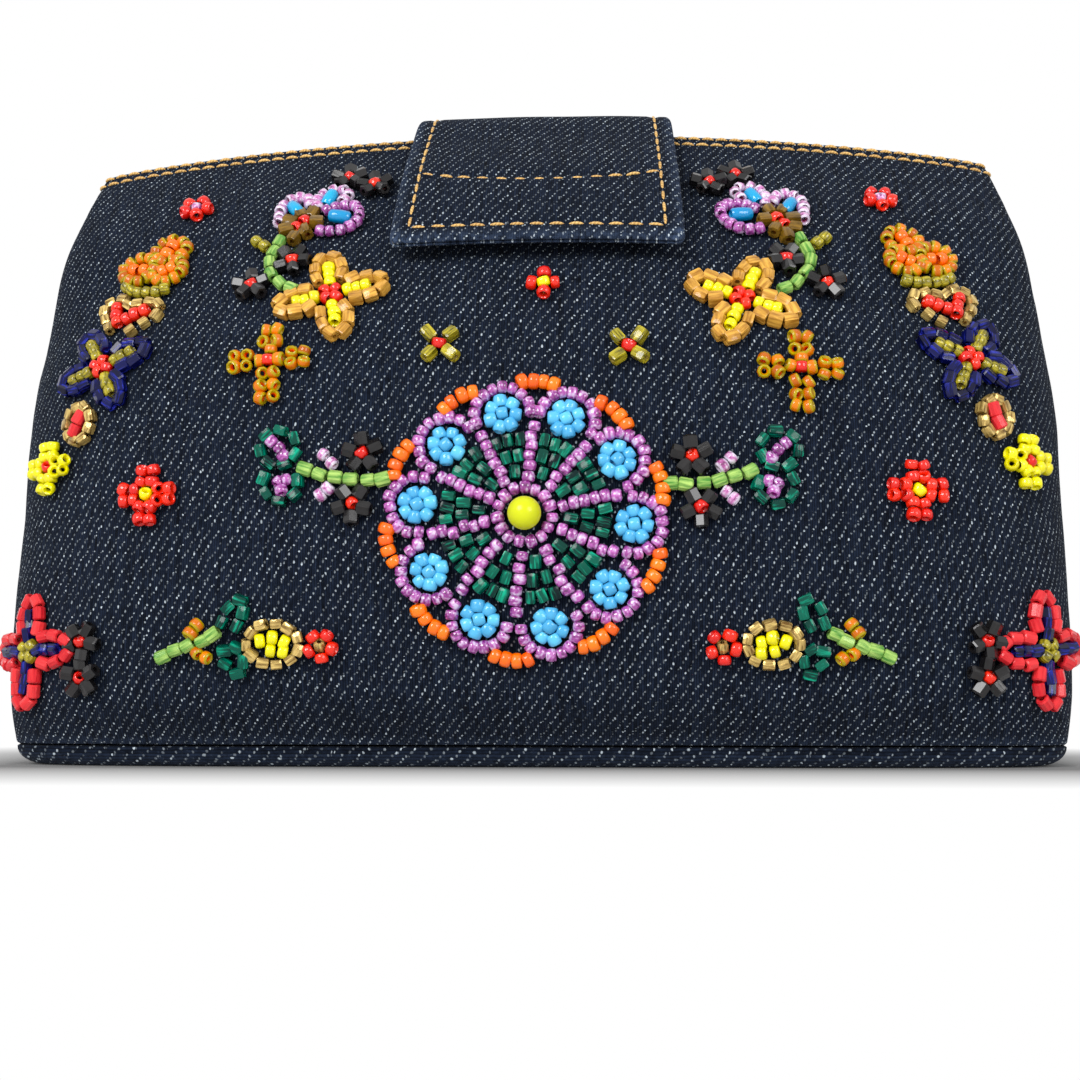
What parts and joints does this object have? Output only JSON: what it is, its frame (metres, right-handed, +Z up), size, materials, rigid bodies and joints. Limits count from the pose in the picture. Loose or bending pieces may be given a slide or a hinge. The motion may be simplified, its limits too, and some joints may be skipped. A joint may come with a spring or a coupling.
{
  "type": "zip pouch",
  "caption": "Small dark denim zip pouch with a boxed base, arched mouth, fold-over tab with snap, and a front embroidered with coloured glass beads.",
  "frame": {"origin": "middle of the base's underside, on the surface that the pouch stands on", "axes": "+Z up, -Y out of the embroidered front, +X to the right of someone who faces the front"},
  "size_m": [0.172, 0.076, 0.1128],
  "materials": {
    "denim": "indigo denim, right-hand twill, matt",
    "lining": "plain dark cotton",
    "zip_tape": "woven tape, matt",
    "brass": "polished, lightly aged",
    "snap_steel": "plated",
    "lime_bead": "opaque glass, glossy",
    "bead_lilac": "glass seed beads with a lilac lustre",
    "bead_sky": "opaque sky-blue glass seed beads",
    "bead_orange": "opaque orange glass seed beads",
    "bead_gold": "gold satin glass tube beads",
    "bead_red": "opaque red glass seed beads",
    "bead_amber": "amber glass seed beads with an orange lining",
    "bead_olive": "olive glass square beads",
    "bead_green": "green satin and teal glass tube beads",
    "bead_navy": "navy cut glass tube beads"
  },
  "bodies": {
    "pouch": {"front_panel": "denim", "back_panel": "denim", "base_panel": "denim", "lining": "lining", "zip_tape_front": "zip_tape", "zip_tape_back": "zip_tape", "zip_teeth_front": "brass", "zip_teeth_back": "brass", "zip_top_stop_front": "brass", "zip_top_stop_back": "brass", "zip_bottom_stop": "brass", "tab_backing": "denim", "tab_outer": "denim", "snap_socket": "snap_steel", "snap_stud": "snap_steel", "centre_bead": "lime_bead", "beads_wheel": "bead_lilac", "beads_petal_1": "bead_sky", "beads_petal_2": "bead_sky", "beads_petal_3": "bead_sky", "beads_petal_4": "bead_sky", "beads_petal_5": "bead_sky", "beads_petal_6": "bead_sky", "beads_petal_7": "bead_sky", "beads_petal_8": "bead_sky", "beads_petal_9": "bead_sky", "beads_petal_10": "bead_sky", "beads_arc_1": "bead_orange", "beads_arc_2": "bead_orange", "beads_arc_3": "bead_orange", "beads_arc_4": "bead_orange", "beads_arc_5": "bead_orange", "beads_arc_6": "bead_orange", "beads_arc_7": "bead_orange", "beads_arc_8": "bead_orange", "beads_arc_9": "bead_orange", "beads_arc_10": "bead_orange", "beads_star_left": "bead_gold", "beads_star_right": "bead_gold", "beads_cross_left": "bead_amber", "beads_cross_right": "bead_amber", "beads_small_left": "bead_olive", "beads_small_right": "bead_olive", "beads_flower_left": "bead_red", "beads_flower_right": "bead_red", "beads_sprig_left": "bead_green", "beads_sprig_right": "bead_green", "beads_lower_sprig_left": "bead_olive", "beads_lower_sprig_right": "bead_olive", "beads_top_spray_left": "bead_lilac", "beads_top_spray_right": "bead_lilac", "beads_garland_left": "bead_navy", "beads_garland_right": "bead_navy", "beads_red_flower": "bead_red"},
    "slider": {"zip_slider": "brass"},
    "pull": {"zip_pull": "brass"}
  },
  "joints": [
    {"name": "slider_run", "type": "hinge", "parent": "pouch", "child": "slider", "pos_m": [0, 0.011, -0.392], "axis": [0, 1, 0], "range_deg": [-13.1, 0]},
    {"name": "pull_swing", "type": "hinge", "parent": "slider", "child": "pull", "pos_m": [0.05729, 0.011, 0.10345], "axis": [0, 1, 0], "range_deg": [0, 150]}
  ]
}
